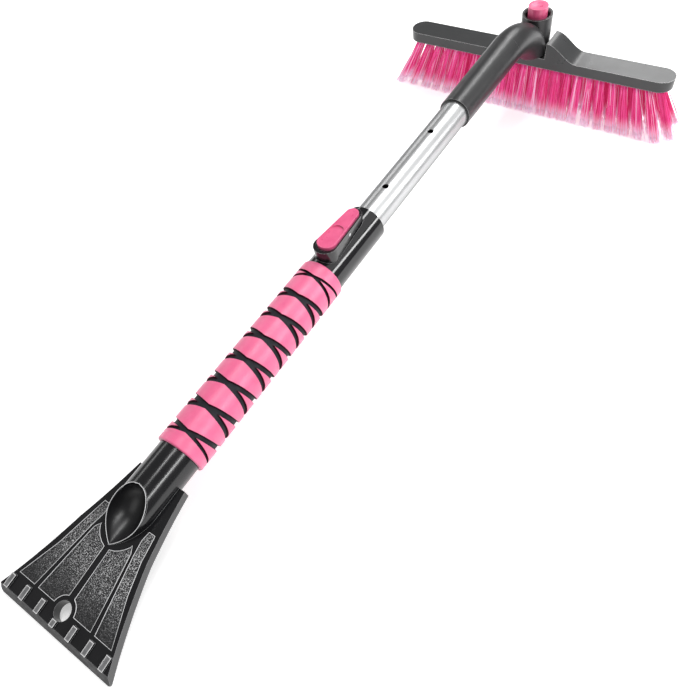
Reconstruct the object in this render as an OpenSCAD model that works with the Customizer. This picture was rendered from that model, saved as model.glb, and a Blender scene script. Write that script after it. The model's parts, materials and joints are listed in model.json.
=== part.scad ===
// Telescoping snow brush with an ice scraper.
// The part is drawn along its handle tube: +X across, +Y from the scraping edge to the brush, +Z up,
// with the tube axis at z = 0 and the scraping edge at y = 0.  place() then lays it on the floor.

/* [Scraper] */
// Width of the scraping edge
blade_w = 100; // [90:1:110]
// Width of the blade where its shoulders meet the socket
shoulder_w = 40.4; // [38:0.1:44]
// Distance from the scraping edge to the shoulders
shoulder_y = 104; // [100:1:106]
// Radius of the hollow curve of each blade side
side_r = 430; // [380:10:600]
// Depth of the blade's side walls
blade_t = 7; // [6:0.5:8]
// Thickness of the blade's plate
plate_t = 3; // [2.5:0.1:3.5]
// Depth of the four grained panels
panel_depth = 0.7; // [0.4:0.1:1]
// Radius of the hanging hole
hang_r = 5.75; // [5:0.05:6.5]
// Distance from the scraping edge to the middle of the hanging hole
hang_y = 14.2; // [13.5:0.1:15]
// Number of ice-breaking ribs
rib_count = 7; // [5:2:7]
// Distance between neighbouring ribs
rib_pitch = 14.2; // [13:0.1:15]

/* [Handle] */
// Outer radius of the scraper's socket
socket_r = 15.1; // [15:0.05:15.5]
// Lower end of the foam grip
grip_y = 123.3; // [121:0.1:126]
// Length of the foam grip
grip_l = 165.1; // [160:0.1:170]
// Outer radius of the foam grip
grip_r = 17.6; // [17:0.1:19]
// Outer radius of the handle tube
handle_r = 13.8; // [13.6:0.05:14]
// Wall of the handle tube
handle_wall = 1; // [0.8:0.05:1]
// Outer radius of the lock housing
housing_r = 16; // [15.6:0.1:16.5]
// Upper end of the lock housing
housing_end = 352.4; // [350:0.1:358]

/* [Lock lever] */
// Radius of the lever's wide thumb end
thumb_r = 7.5; // [7:0.1:8]
// Middle of the wide end along the tube
thumb_y = 302.5; // [301:0.1:304]
// Radius of the lever's narrow end
nose_r = 4.9; // [4.5:0.1:5]
// Middle of the narrow end along the tube
nose_y = 336.5; // [335:0.1:338]
// Height of the lever's top above the tube axis, at the middle of its wide end
lever_top = 26.8; // [26:0.1:27.5]
// Slope of the lever's top down towards its narrow end
lever_fall = 3.3; // [2:0.1:4]
// Distance along the tube to the lever's pivot
pivot_y = 320; // [318:0.5:322]

/* [Inner tube] */
// Outer radius of the aluminium inner tube
tube_r = 12.5; // [12.3:0.05:12.6]
// Wall of the inner tube
tube_wall = 1.2; // [1:0.1:1.5]
// Lower end of the inner tube's glide plug
tube_start = 231; // [230:0.5:236]
// Place of the outermost lock hole
hole_y = 457.6; // [455:0.1:459]
// Distance between lock holes
hole_pitch = 74.3; // [73:0.1:75]
// Number of lock holes
hole_count = 3; // [2:1:3]
// Radius of a lock hole
hole_r = 2.6; // [2.4:0.1:3]

/* [Neck] */
// Mouth of the neck sleeve
neck_y = 501.8; // [499:0.1:504]
// Outer radius of the neck sleeve at its mouth
neck_r = 14.5; // [14.5:0.1:15.3]
// Start of the neck's downward bend
bend_y = 605; // [600:1:608]
// Radius of the bend's centre line
bend_r = 87; // [85:1:90]
// Radius of the neck along its bend
bend_tube_r = 15.1; // [14.9:0.1:15.3]
// Angle of the bend
bend_a = 66; // [63:1:70]
// Distance along the tube to the hub's axis
hub_y = 683; // [681:0.5:685]
// Outer radius of the hub
hub_r = 15.3; // [15:0.1:15.6]
// Height of the hub's rim from the tube axis
rim_z = -3; // [-4:0.1:-2]
// Radius of the hub's cup
cup_r = 12.2; // [12:0.1:12.4]
// Radius of the push button
button_r = 9.8; // [9.6:0.1:10]
// Height of the button's top from the tube axis
button_top = 5.1; // [4:0.1:6]

/* [Brush head] */
// Length of the brush board
board_l = 291; // [280:1:300]
// Width of the brush board
board_w = 26.4; // [26:0.1:28]
// Thickness of the brush board
board_t = 10.7; // [10:0.1:12]
// Height of the board's top face from the tube axis
board_z = -41.8; // [-42.5:0.1:-41.5]
// Inner face of the stop horn, from the hub's axis
horn_in = 18; // [17:0.1:19]
// Foot of the stop horn, from the hub's axis
horn_out = 52; // [48:1:56]
// Height of the stop horn above the board
horn_h = 16.8; // [15:0.1:17]
// Free length of the bristles
bristle_l = 51.9; // [48:0.1:55]
// Outward lean of the end bristles at their tips
bristle_flare = 22; // [10:1:24]
// Number of bristle rows, front to back
row_count = 4; // [4:4]

/* [Hidden] */
$fn = 96;
e = 0.01;
gap = 0.3;
// Blade profile, as (y, z): the top face bends a little at plate_bend_y.
edge_z = -17.5;
bevel_y = 4.3;
bevel_z = -9;
plate_bend_y = 60;
plate_bend_z = -1.2;
blade_end_z = -0.3;
blade_end_y = shoulder_y + 2;
blade_slope = atan((plate_bend_z - bevel_z) / (plate_bend_y - bevel_y));
corner_r = 2.2;
side_wall = 2.6;
// Socket and scoop
socket_end = grip_y + 16;
socket_floor = shoulder_y + 4.5;
nose_tip_y = 56.5;
nose_full_y = 84;
nose_arc_r = (socket_r * socket_r + pow(nose_full_y - nose_tip_y, 2)) / (2 * socket_r);
scoop_y0 = 56.9;
scoop_z0 = -1.4;
scoop_y1 = 94.2;
scoop_z1 = 15.1;
scoop_l = norm([scoop_y1 - scoop_y0, scoop_z1 - scoop_z0]);
scoop_a = atan((scoop_z1 - scoop_z0) / (scoop_y1 - scoop_y0));
scoop_w = 13.2;
// Tubes
handle_in = handle_r - handle_wall;
bore_fit = 0.05;
handle_start = socket_floor + 0.5;
bush_l = 9;
handle_end = housing_end - bush_l;
grip_end = grip_y + grip_l;
spigot_l = 13.5;
tube_in = tube_r - tube_wall;
plug_l = 6;
tube_end = neck_y + 62;
sleeve_sink = 0.02;
hole_ys = [for (i = [0:hole_count - 1]) hole_y - i * hole_pitch];
// Blind rivets
rivet_r = 1.6;
rivet_head_r = 3.2;
rivet_head_t = 1;
rivet_sink = 0.4;
handle_rivet_ys = [shoulder_y + 11.5, nose_y - 11];
neck_rivet_ys = [neck_y + 14];
// Lever and housing boss
flank_inset = 0.02;
boss_r = 9.4;
boss_y = 300.2;
boss_nose_r = 6.7;
boss_nose_y = 337.3;
boss_drop = 2.2;
pocket_clear = 0.6;
pocket_floor = 18;
lever_t = 3.2;
dish_step = 1;
dish_end_y = 320.4;
dish_end_r = 5.7;
dish_rim = 1.1;
pivot_z = 20;
pivot_pin_r = 1.25;
pin_half = 7.8;
lock_pin_r = 2;
lock_pin_top = 22.6;
// Hub stack, heights from the tube axis
seat_washer_t = 1.4;
hub_bottom = board_z + seat_washer_t + 0.1;
floor_z = -34;
post_r = 6;
spindle_r = 3;
clamp_z = floor_z + 0.15;
pivot_washer_t = 1.2;
crown_z = -25.5;
crown_t = 3;
crown_r = 8.4;
nut_t = 2.5;
lug_gap = 0.3;
lug_t = 2;
skirt_in = 8.6;
button_travel = 4;
key_w = 2;
key_r = 11;
key_top = -16.3;
guide_top = -10.5;
guide_bottom = -31.5;
// Bristles
row_pitch = 6.4;
row_t = 5.4;
row_lean = 1.6;
tip_z = board_z - board_t - bristle_l;
// Lying on the floor: the bristle tips and the scraping edge touch z = 0.
front_tip = hub_y - (row_count - 1) / 2 * row_pitch * row_lean - row_t / 2;
back_tip = hub_y + (row_count - 1) / 2 * row_pitch * row_lean + row_t / 2;
tilt = atan((edge_z - tip_z) / front_tip);
lift = -edge_z * cos(tilt);
y_low = -edge_z * sin(tilt);
y_high = back_tip * cos(tilt) - tip_z * sin(tilt);
y_shift = -(y_low + y_high) / 2;

black = [0.11, 0.11, 0.12];
pink = [0.93, 0.33, 0.58];
alu = [0.82, 0.83, 0.84];
steel = [0.6, 0.61, 0.62];
nylon = [0.85, 0.85, 0.8];

// Lay the tube frame on the floor, with the origin under the middle of the whole.
module place() {
  translate([0, y_shift, lift]) rotate([tilt, 0, 0]) children();
}

// Cylinder along +Y, from y0 to y1.
module rod(r, y0, y1, fn = 96) {
  translate([0, y0, 0]) rotate([-90, 0, 0]) cylinder(r = r, h = y1 - y0, $fn = fn);
}

module tube(ro, ri, y0, y1) {
  difference() {
    rod(ro, y0, y1);
    rod(ri, y0 - 1, y1 + 1);
  }
}

// A flat (y, z) outline stretched to +-half along X.
module side_slab(points, half) {
  rotate([90, 0, 90]) translate([0, 0, -half]) linear_extrude(2 * half) polygon(points);
}

// Teardrop outline: two circles on the Y axis and straight flanks just inside their common tangents.
module teardrop(r1, y1, r2, y2) {
  d = y2 - y1;
  a = asin((r1 - r2) / d);
  q1 = r1 - flank_inset;
  q2 = r2 - flank_inset;
  translate([0, y1]) circle(r1);
  translate([0, y2]) circle(r2);
  polygon([
    [q1 * cos(a), y1 + q1 * sin(a)], [q2 * cos(a), y2 + q2 * sin(a)],
    [-q2 * cos(a), y2 + q2 * sin(a)], [-q1 * cos(a), y1 + q1 * sin(a)]
  ]);
}

// ---- Scraper ----

// Height of the blade's top face at y.
function top_z(y) = y < plate_bend_y
  ? bevel_z + (y - bevel_y) * (plate_bend_z - bevel_z) / (plate_bend_y - bevel_y)
  : plate_bend_z + (y - plate_bend_y) * (blade_end_z - plate_bend_z) / (blade_end_y - plate_bend_y);

// Blade outline seen from above: hollow sides, rounded corners, clipped shoulders.
module blade_plan(inset = 0, y0 = 0, y1 = blade_end_y) {
  a = [blade_w / 2, 0];
  b = [shoulder_w / 2, shoulder_y];
  m = (a + b) / 2;
  n = [b[1] - a[1], a[0] - b[0]] / norm(b - a);
  h = sqrt(side_r * side_r - pow(norm(b - a) / 2, 2));
  c = m + n * h;
  difference() {
    translate([-blade_w / 2, y0, -40]) cube([blade_w, y1 - y0, 60]);
    for (s = [-1, 1]) {
      translate([s * c[0], c[1], -41]) cylinder(r = side_r + inset, h = 62, $fn = 360);
    }
  }
}

// Clips one lower corner to a round one.
module corner_cut() {
  x = blade_w / 2 - corner_r - 0.55;
  difference() {
    translate([x, -1, -40]) cube([corner_r + 3, corner_r + 1, 60]);
    translate([x, corner_r, -41]) cylinder(r = corner_r, h = 62);
  }
}

module blade_body() {
  difference() {
    intersection() {
      blade_plan();
      side_slab([
        [0, edge_z], [0, edge_z + 0.5], [bevel_y, bevel_z], [plate_bend_y, plate_bend_z],
        [blade_end_y, blade_end_z], [blade_end_y, blade_end_z - blade_t + 0.3],
        [plate_bend_y, plate_bend_z - blade_t + 0.2], [14, top_z(14) - blade_t - 0.2]
      ], blade_w / 2);
    }
    for (s = [0, 1]) mirror([s, 0, 0]) corner_cut();
    // Hollow under the plate, inside the side walls
    difference() {
      intersection() {
        blade_plan(side_wall, 9, shoulder_y - 8);
        side_slab([
          [9, -40], [9, top_z(9) - plate_t], [plate_bend_y, plate_bend_z - plate_t],
          [shoulder_y, blade_end_z - plate_t], [shoulder_y, -40]
        ], blade_w / 2);
      }
      // Stiffening ribs and the wall round the hanging hole
      for (x = [-24, 0, 24]) {
        translate([0, 110, 0]) rotate([0, 0, x]) translate([-1.1, -115, -40]) cube([2.2, 115, 60]);
      }
      translate([0, hang_y, -40]) cylinder(r = hang_r + 2.2, h = 60);
      rod(socket_r, nose_tip_y + 4, socket_end);
    }
  }
}

// One side's two panels, mirrored for the other side.
module panel_plan() {
  polygon([[27, 15.2], [41, 15.2], [30.4, 41.2], [25.2, 60], [22.2, 75.4], [17.4, 75.4], [16.6, 69.5]]);
  difference() {
    polygon([
      [2.4, 15.2], [23.4, 15.2], [19.4, 41], [16.2, 60], [13.7, 64],
      for (a = [35:11:79]) [17.5 * cos(a) * 1.02 - 1.2, 74 - 19.8 * sin(a)]
    ]);
    translate([0, hang_y]) circle(hang_r + 2.9);
  }
}

module scraper() color(black) place() {
  difference() {
    union() {
      blade_body();
      // Socket with its pointed nose
      intersection() {
        rod(socket_r, nose_tip_y, socket_end);
        union() {
          intersection() {
            translate([nose_arc_r - socket_r, nose_full_y, -20]) cylinder(r = nose_arc_r, h = 40, $fn = 180);
            translate([socket_r - nose_arc_r, nose_full_y, -20]) cylinder(r = nose_arc_r, h = 40, $fn = 180);
          }
          translate([-20, nose_full_y, -20]) cube([40, 80, 40]);
        }
        side_slab([
          [nose_tip_y, -9], [nose_tip_y, 20], [socket_end + 1, 20], [socket_end + 1, -16], [84, -16]
        ], 20);
      }
      // Ice-breaking ribs
      for (i = [0:rib_count - 1]) {
        mid = i == (rib_count - 1) / 2;
        l = mid ? 4.2 : 8.4;
        y0 = bevel_y + 0.2;
        translate([(i - (rib_count - 1) / 2) * rib_pitch, y0, top_z(y0)]) rotate([blade_slope, 0, 0])
          translate([-1.8, 0, -1]) cube([3.6, l, 2.6]);
      }
    }
    // Socket bore
    rod(handle_r + bore_fit, socket_floor, socket_end + 1);
    // Hanging hole
    translate([0, hang_y, -40]) cylinder(r = hang_r, h = 60);
    // Oblique cut and its dish
    translate([0, scoop_y0, scoop_z0]) rotate([scoop_a, 0, 0]) {
      translate([-20, 0, 0]) cube([40, scoop_l + 6, 30]);
      scoop();
    }
    // Grained panels, sunk below the top face
    for (s = [0, 1]) mirror([s, 0, 0]) intersection() {
      translate([0, 0, -20]) linear_extrude(40) panel_plan();
      side_slab([
        [10, top_z(10) - panel_depth], [plate_bend_y, plate_bend_z - panel_depth],
        [90, top_z(90) - panel_depth], [90, 10], [10, 10]
      ], 50);
    }
    rivet_hole(handle_rivet_ys[0], socket_r);
  }
}

// Dish turned about the long axis of the oblique cut, pointed at its lower end.
module scoop() {
  n = 20;
  rotate([-90, 0, 0]) rotate_extrude($fn = 72) polygon([
    [0, 0.4],
    for (i = [1:n]) let (t = i / n) [scoop_w * sin(90 * pow(t, 0.86)), 0.4 + t * scoop_l * 0.52],
    for (i = [1:n - 1]) let (t = i / n)
      [scoop_w * sqrt(1 - t * t), 0.4 + scoop_l * (0.52 + 0.465 * t)],
    [0, 0.4 + scoop_l * 0.985]
  ]);
}

// ---- Handle ----

// Hole and flat seat for a rivet that comes up from below at y, through a tube of radius r.
module rivet_hole(y, r) {
  translate([0, y, -r - 2]) {
    cylinder(r = rivet_r, h = 8, $fn = 48);
    cylinder(r = rivet_head_r + 0.1, h = 2 + rivet_sink, $fn = 48);
  }
}

// Blind rivet whose head lies on its flat seat and whose shank goes deep above it.
module rivet(y, r, deep) {
  translate([0, y, -r + rivet_sink - rivet_head_t]) {
    cylinder(r1 = rivet_head_r - 0.6, r2 = rivet_head_r, h = rivet_head_t, $fn = 48);
    cylinder(r = rivet_r - 0.02, h = rivet_head_t + deep, $fn = 48);
  }
}

module handle_rivets() color(steel) place() {
  rivet(handle_rivet_ys[0], socket_r, socket_r - handle_in - rivet_sink - 0.1);
  rivet(handle_rivet_ys[1], housing_r, housing_r - handle_in - rivet_sink - 0.1);
}

module handle_tube() color(alu) place() {
  difference() {
    tube(handle_r, handle_in, handle_start, handle_end);
    rivet_hole(handle_rivet_ys[0], socket_r);
    rivet_hole(handle_rivet_ys[1], housing_r);
    translate([0, nose_y, 0]) cylinder(r = lock_pin_r + 1, h = 20);
  }
}

module foam_grip() color(pink) place() {
  difference() {
    rod(grip_r, grip_y, grip_end);
    rod(handle_r + bore_fit, grip_y - 1, grip_end + 1);
    rod(socket_r + bore_fit, grip_y - 1, socket_end + 0.5);
    rod(socket_r + bore_fit, grip_end - spigot_l - 0.5, grip_end + 1);
  }
}

module lock_housing() color(black) place() {
  difference() {
    union() {
      rod(housing_r, grip_end + 0.3, housing_end);
      rod(socket_r, grip_end - spigot_l, grip_end + 1);
      // Raised boss round the lever, whose rim slopes with the lever's top
      intersection() {
        linear_extrude(2 * lever_top) teardrop(boss_r, boss_y, boss_nose_r, boss_nose_y);
        under_lever_top(boss_drop);
      }
    }
    rod(handle_r + bore_fit, grip_end - spigot_l - 1, handle_end);
    rod(handle_r + bore_fit + 0.5, handle_end - e, housing_end + 1);
    // Lever pocket
    translate([0, 0, pocket_floor]) linear_extrude(lever_top)
      teardrop(thumb_r + pocket_clear, thumb_y - 0.4, nose_r + pocket_clear, nose_y);
    // Pivot pin and lock pin holes
    translate([-15, pivot_y, pivot_z]) rotate([0, 90, 0]) cylinder(r = pivot_pin_r, h = 30, $fn = 48);
    translate([0, nose_y, 0]) cylinder(r = lock_pin_r + 1, h = pocket_floor + 1);
    rivet_hole(handle_rivet_ys[1], housing_r);
  }
}

module guide_bush() color(nylon) place() {
  tube(handle_r + bore_fit + 0.45, tube_r + bore_fit, handle_end + 0.1, housing_end - 0.6);
}

module lever_pivot_pin() color(steel) place() {
  translate([-pin_half, pivot_y, pivot_z]) rotate([0, 90, 0])
    cylinder(r = pivot_pin_r - 0.02, h = 2 * pin_half, $fn = 48);
}

// Flat spring strip, drawn pressed down on the pocket floor.
module lever_spring() color(steel) place() {
  side_slab([
    [299, pocket_floor], [314, pocket_floor], [314, pocket_floor + 0.35], [306, pocket_floor + 0.6],
    [299, pocket_floor + 0.35]
  ], 3);
}

// ---- Lock lever ----

// Height of the lever's sloping top at y.
function lever_z(y) = lever_top - (y - thumb_y) * tan(lever_fall);

// Everything that lies more than drop below the lever's top.
module under_lever_top(drop, y0 = 280, y1 = 360) {
  side_slab([[y0, 0], [y1, 0], [y1, lever_z(y1) - drop], [y0, lever_z(y0) - drop]], 20);
}

module lock_lever() color(pink) place() {
  lug_l = 10.4;
  difference() {
    union() {
      intersection() {
        linear_extrude(2 * lever_top) teardrop(thumb_r, thumb_y, nose_r, nose_y);
        difference() {
          under_lever_top(0);
          under_lever_top(lever_t);
        }
      }
      // Pivot lug and the seat of the lock pin
      translate([-lug_l / 2, pivot_y, pivot_z]) rotate([0, 90, 0]) cylinder(r = 2, h = lug_l, $fn = 64);
      translate([-lug_l / 2, pivot_y - 2, pivot_z]) cube([lug_l, 4, 3.4]);
      translate([0, nose_y, pocket_floor + 0.7]) cylinder(r = 3.4, h = 4);
    }
    translate([-15, pivot_y, pivot_z]) rotate([0, 90, 0])
      cylinder(r = pivot_pin_r + 0.04, h = 30, $fn = 48);
    translate([0, nose_y, 0]) cylinder(r = lock_pin_r, h = lock_pin_top);
    // Thumb dish that deepens towards an arc-shaped step
    intersection() {
      linear_extrude(2 * lever_top)
        teardrop(thumb_r - dish_rim, thumb_y, dish_end_r, dish_end_y - dish_end_r);
      y0 = thumb_y - thumb_r;
      side_slab([
        [y0, lever_z(y0) - 0.1], [dish_end_y, lever_z(dish_end_y) - dish_step], [dish_end_y + 1, 40], [y0, 40]
      ], 20);
    }
  }
}

module lock_pin() color(steel) place() {
  translate([0, nose_y, tube_r + gap])
    cylinder(r = lock_pin_r - 0.02, h = lock_pin_top - tube_r - gap, $fn = 64);
}

// ---- Telescoping tube ----

module inner_tube() color(alu) place() {
  difference() {
    tube(tube_r, tube_in, tube_start + plug_l, tube_end);
    for (y = hole_ys) translate([0, y, 0]) cylinder(r = hole_r, h = 20, $fn = 64);
    for (y = neck_rivet_ys) rivet_hole(y, neck_r);
  }
}

module tube_end_plug() color(black) place() {
  rod(handle_in - 0.08, tube_start, tube_start + plug_l);
  rod(tube_in - bore_fit, tube_start + plug_l - 1, tube_start + plug_l + 12);
}

module neck_rivets() color(steel) place() {
  for (y = neck_rivet_ys) rivet(y, neck_r, 4);
}

module neck() color(black) place() {
  difference() {
    union() {
      // Slightly tapered sleeve whose end lies just inside the bend, and the bend
      translate([0, neck_y, 0]) rotate([-90, 0, 0])
        cylinder(r1 = neck_r, r2 = bend_tube_r - sleeve_sink, h = bend_y + 1 - neck_y);
      intersection() {
        translate([0, bend_y, -bend_r]) rotate([90, 0, 90]) rotate([0, 0, 90 - bend_a])
          rotate_extrude(angle = bend_a, $fn = 180) translate([bend_r, 0]) circle(bend_tube_r, $fn = 96);
        translate([-40, bend_y - 5, hub_bottom]) cube([80, 120, 80]);
      }
      translate([0, hub_y, hub_bottom]) cylinder(r = hub_r, h = rim_z - hub_bottom);
    }
    rod(tube_r + bore_fit, neck_y - 1, tube_end + 0.5);
    translate([0, hub_y, floor_z]) cylinder(r = cup_r, h = 60);
    translate([0, hub_y, rim_z - 1.2]) cylinder(r1 = cup_r, r2 = cup_r + 1.2, h = 1.2 + e);
    translate([0, hub_y, hub_bottom - 1]) cylinder(r = post_r + bore_fit, h = 20);
    for (y = neck_rivet_ys) rivet_hole(y, neck_r);
  }
}

// Ring pressed into the hub's cup; its two grooves keep the button from turning.
module button_guide() color(black) place() translate([0, hub_y, 0]) {
  difference() {
    translate([0, 0, guide_bottom]) cylinder(r = cup_r - 0.02, h = guide_top - guide_bottom);
    translate([0, 0, guide_bottom - 1]) cylinder(r = button_r + 0.08, h = 40);
    translate([-key_r - 0.15, -key_w / 2 - 0.15, guide_bottom - 1])
      cube([2 * key_r + 0.3, key_w + 0.3, key_top + gap - guide_bottom + 1]);
  }
}

// ---- Push button ----

module push_button() color(pink) place() translate([0, hub_y, 0]) {
  low = crown_z - lug_gap - lug_t;
  difference() {
    union() {
      translate([0, 0, low]) cylinder(r = button_r, h = button_top - low);
      for (s = [0, 1]) mirror([s, 0, 0])
        translate([button_r - 1, -key_w / 2, low]) cube([key_r - button_r + 1, key_w, key_top - low]);
    }
    translate([0, 0, low - 1]) cylinder(r = skirt_in, h = button_top - 2.6 - low + 1);
    // Shallow dish in the top
    translate([0, 0, button_top + 39.4]) sphere(r = 40, $fn = 120);
  }
  // Four lugs that lock into the crown's notches
  for (a = [0:90:270]) rotate([0, 0, a + 45]) intersection() {
    translate([6.8, -1.5, low]) cube([3, 3, lug_t]);
    translate([0, 0, low]) cylinder(r = skirt_in + 0.4, h = lug_t);
  }
}

// Return spring, drawn at its pressed length as separate turns.
module button_spring() color(steel) place() translate([0, hub_y, 0]) {
  coils = 9;
  z0 = crown_z + crown_t + 0.5;
  z1 = button_top - 2.6 - button_travel - 1.2;
  for (i = [0:coils - 1]) translate([0, 0, z0 + i * (z1 - z0) / (coils - 1)])
    rotate_extrude($fn = 64) translate([6.6, 0]) circle(0.45, $fn = 24);
}

// ---- Brush head ----

module board_plan() {
  for (s = [-1, 1]) translate([s * (board_l - board_w) / 2, 0]) circle(board_w / 2, $fn = 120);
  square([board_l - board_w, board_w], center = true);
}

// Smooth rise of the stop horn beside the hub.
function horn_z(x) = board_z + horn_h * (1 + cos(180 * (x - horn_in) / (horn_out - horn_in))) / 2;

module brush_board() color(black) place() translate([0, hub_y, 0]) {
  difference() {
    union() {
      translate([0, 0, board_z - board_t]) linear_extrude(board_t) board_plan();
      translate([0, board_w / 2, 0]) rotate([90, 0, 0]) linear_extrude(board_w) polygon([
        [horn_in, board_z - 1],
        for (i = [0:28]) let (x = horn_in + i * (horn_out - horn_in) / 28) [x, horn_z(x)],
        [horn_out, board_z - 1]
      ]);
    }
    translate([0, 0, board_z - board_t + 2]) cylinder(r = post_r - 2, h = 20);
  }
}

module pivot_post() color(steel) place() translate([0, hub_y, 0]) {
  translate([0, 0, board_z - board_t + 2]) cylinder(r = post_r - 2.02, h = board_t - 2 + e);
  translate([0, 0, board_z]) cylinder(r = post_r, h = clamp_z - board_z);
  translate([0, 0, clamp_z - e]) cylinder(r = 4.5 - 0.02, h = crown_z - clamp_z + e);
  translate([0, 0, crown_z - e]) cylinder(r = spindle_r, h = crown_t + nut_t + 0.6);
}

module seat_washer() color(nylon) place() translate([0, hub_y, board_z]) difference() {
  cylinder(r = 14.2, h = seat_washer_t);
  translate([0, 0, -1]) cylinder(r = post_r + 0.02, h = 5);
}

module pivot_washer() color(steel) place() translate([0, hub_y, clamp_z]) difference() {
  cylinder(r = 9.4, h = pivot_washer_t);
  translate([0, 0, -1]) cylinder(r = 4.5, h = 5);
}

// Crown on the post, with a notch for each of the button's lugs.
module lock_crown() color(steel) place() translate([0, hub_y, crown_z]) difference() {
  cylinder(r = crown_r, h = crown_t);
  translate([0, 0, -1]) cylinder(r = spindle_r + 0.02, h = 8);
  for (a = [0:90:270]) rotate([0, 0, a + 45]) translate([6.5, -1.8, -1]) cube([4, 3.6, 8]);
}

module pivot_nut() color(steel) place() translate([0, hub_y, crown_z + crown_t]) difference() {
  cylinder(r = 5.4, h = nut_t, $fn = 6);
  translate([0, 0, -1]) cylinder(r = spindle_r + 0.02, h = 8);
}

// One row of bristles as a slab that spreads towards its tips.
module bristle_row(i) {
  y = (i - (row_count - 1) / 2) * row_pitch;
  half = board_l / 2 - (abs(y) > row_pitch ? 11.5 : 7);
  top = board_z - board_t;
  color(pink) place() translate([0, hub_y, 0]) hull() {
    translate([-half, y - row_t / 2, top - 0.5]) cube([2 * half, row_t, 0.5]);
    translate([-half - bristle_flare, y * row_lean - row_t / 2, tip_z])
      cube([2 * (half + bristle_flare), row_t, 0.5]);
  }
}

module bristle_row_1() bristle_row(0);
module bristle_row_2() bristle_row(1);
module bristle_row_3() bristle_row(2);
module bristle_row_4() bristle_row(3);

scraper();
handle_tube();
foam_grip();
lock_housing();
guide_bush();
handle_rivets();
lever_pivot_pin();
lever_spring();
lock_lever();
lock_pin();
inner_tube();
tube_end_plug();
neck();
neck_rivets();
button_guide();
push_button();
button_spring();
brush_board();
pivot_post();
seat_washer();
pivot_washer();
lock_crown();
pivot_nut();
bristle_row_1();
bristle_row_2();
bristle_row_3();
bristle_row_4();
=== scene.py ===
"""Looks for the telescoping snow brush: materials, grooved foam grip, bristles, light and camera."""

import json
import math
import random

import bmesh
import bpy
from mathutils import Matrix, Vector


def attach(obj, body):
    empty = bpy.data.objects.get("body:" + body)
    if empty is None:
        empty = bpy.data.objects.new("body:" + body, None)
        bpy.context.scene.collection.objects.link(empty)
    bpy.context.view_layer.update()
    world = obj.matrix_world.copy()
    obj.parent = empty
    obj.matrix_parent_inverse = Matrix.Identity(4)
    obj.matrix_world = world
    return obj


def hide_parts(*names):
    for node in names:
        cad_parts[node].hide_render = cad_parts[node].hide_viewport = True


MM = 0.001

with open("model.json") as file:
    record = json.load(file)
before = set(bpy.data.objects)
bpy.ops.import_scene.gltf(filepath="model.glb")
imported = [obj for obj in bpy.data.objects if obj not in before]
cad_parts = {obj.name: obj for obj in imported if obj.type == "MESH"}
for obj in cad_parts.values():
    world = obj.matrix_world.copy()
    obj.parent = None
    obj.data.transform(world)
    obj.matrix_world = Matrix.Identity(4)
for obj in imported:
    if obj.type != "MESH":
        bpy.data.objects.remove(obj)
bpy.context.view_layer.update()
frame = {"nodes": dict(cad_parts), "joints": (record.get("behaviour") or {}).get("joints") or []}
NODES = frame["nodes"]
JOINTS = {j["name"]: j for j in frame["joints"]}

# The tool's own frame: X across, Y along the tube from the scraping edge, Z away from the bristles,
# with the tube axis at z = 0.  The joints' axes give its directions, and the brush pivot gives its place.
HUB_Y = 683.0
BOARD_TOP = -41.8
ALONG = Vector(JOINTS["tube_slide"]["axis"]).normalized()
AWAY = Vector(JOINTS["head_pivot"]["axis"]).normalized()
ACROSS = ALONG.cross(AWAY)
ORIGIN = Vector(JOINTS["head_pivot"]["pos_m"]) - ALONG * HUB_Y * MM - AWAY * BOARD_TOP * MM
TURN = Matrix((ACROSS, ALONG, AWAY)).transposed()
TOOL = Matrix.Translation(ORIGIN) @ TURN.to_4x4()
TO_TOOL = TOOL.inverted()


def at(x, y, z):
    """A point given in the tool's frame in millimetres, as a row-frame point in metres."""
    return TOOL @ Vector((x * MM, y * MM, z * MM))


def tool_point(p):
    """A row-frame point in metres, as a tool-frame point in millimetres."""
    return (TO_TOOL @ p) / MM


# ---- Node helpers ----


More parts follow.
